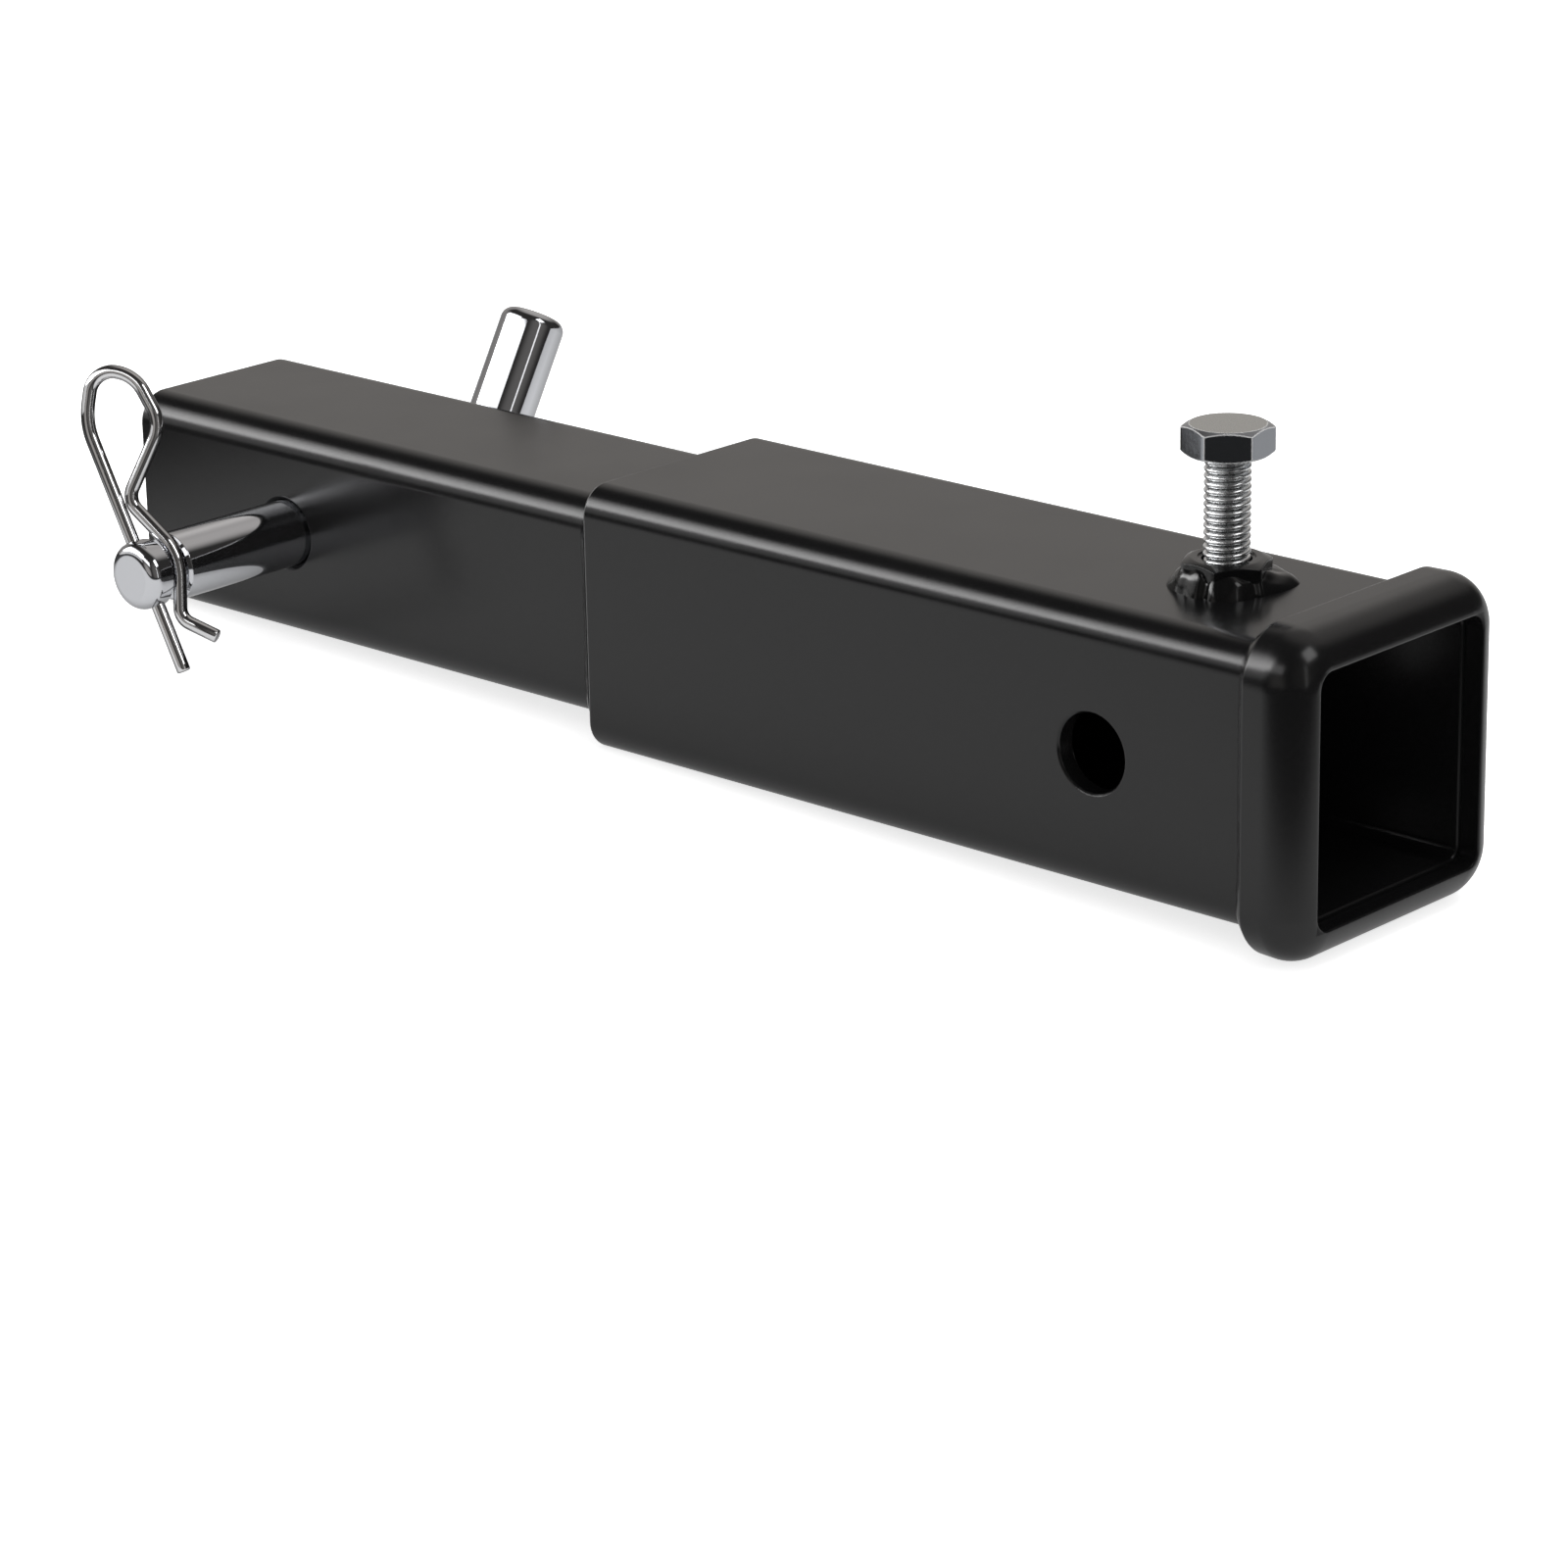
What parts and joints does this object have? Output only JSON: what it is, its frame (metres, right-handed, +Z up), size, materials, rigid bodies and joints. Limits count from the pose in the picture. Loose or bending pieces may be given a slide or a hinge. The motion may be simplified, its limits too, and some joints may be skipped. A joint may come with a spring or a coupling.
{
  "type": "hitch receiver extender",
  "caption": "Black square-tube hitch receiver extender with a collared mouth, a clamp bolt on top, and a bent chrome pin held by a hairpin clip.",
  "frame": {"origin": "centre of the receiver tube's cross hole, on the common axis of both tubes", "axes": "+X along the tubes towards the open mouth, +Z up towards the clamp bolt, -Y towards the clip end of the hitch pin"},
  "size_m": [0.3549, 0.138, 0.1002],
  "materials": {
    "black_coat": "satin black powder coat",
    "coated_weld": "glossier black coat over weld metal",
    "zinc_plate": "bright zinc plate",
    "chrome_plate": "polished plate",
    "clip_wire": "polished plated spring wire"
  },
  "bodies": {
    "extender": {"shank_tube": "black_coat", "receiver_tube": "black_coat", "mouth_collar": "black_coat", "shank_weld": "coated_weld", "collar_weld": "coated_weld", "weld_nut": "black_coat", "nut_weld": "coated_weld"},
    "bolt": {"clamp_bolt": "zinc_plate"},
    "pin": {"hitch_pin": "chrome_plate"},
    "clip": {"hairpin_clip": "clip_wire"}
  },
  "joints": [
    {"name": "clamp_screw", "type": "slide", "parent": "extender", "child": "bolt", "axis": [0, 0, 1], "range_m": [-0.0215, 0.007]},
    {"name": "pin_slide", "type": "slide", "parent": "extender", "child": "pin", "axis": [0, 1, 0], "range_m": [-0.001, 0.03]},
    {"name": "clip_pull", "type": "slide", "parent": "pin", "child": "clip", "axis": [-0.4818, 0, 0.8763], "range_m": [0, 0.06], "deforming": ["hairpin_clip"]}
  ]
}
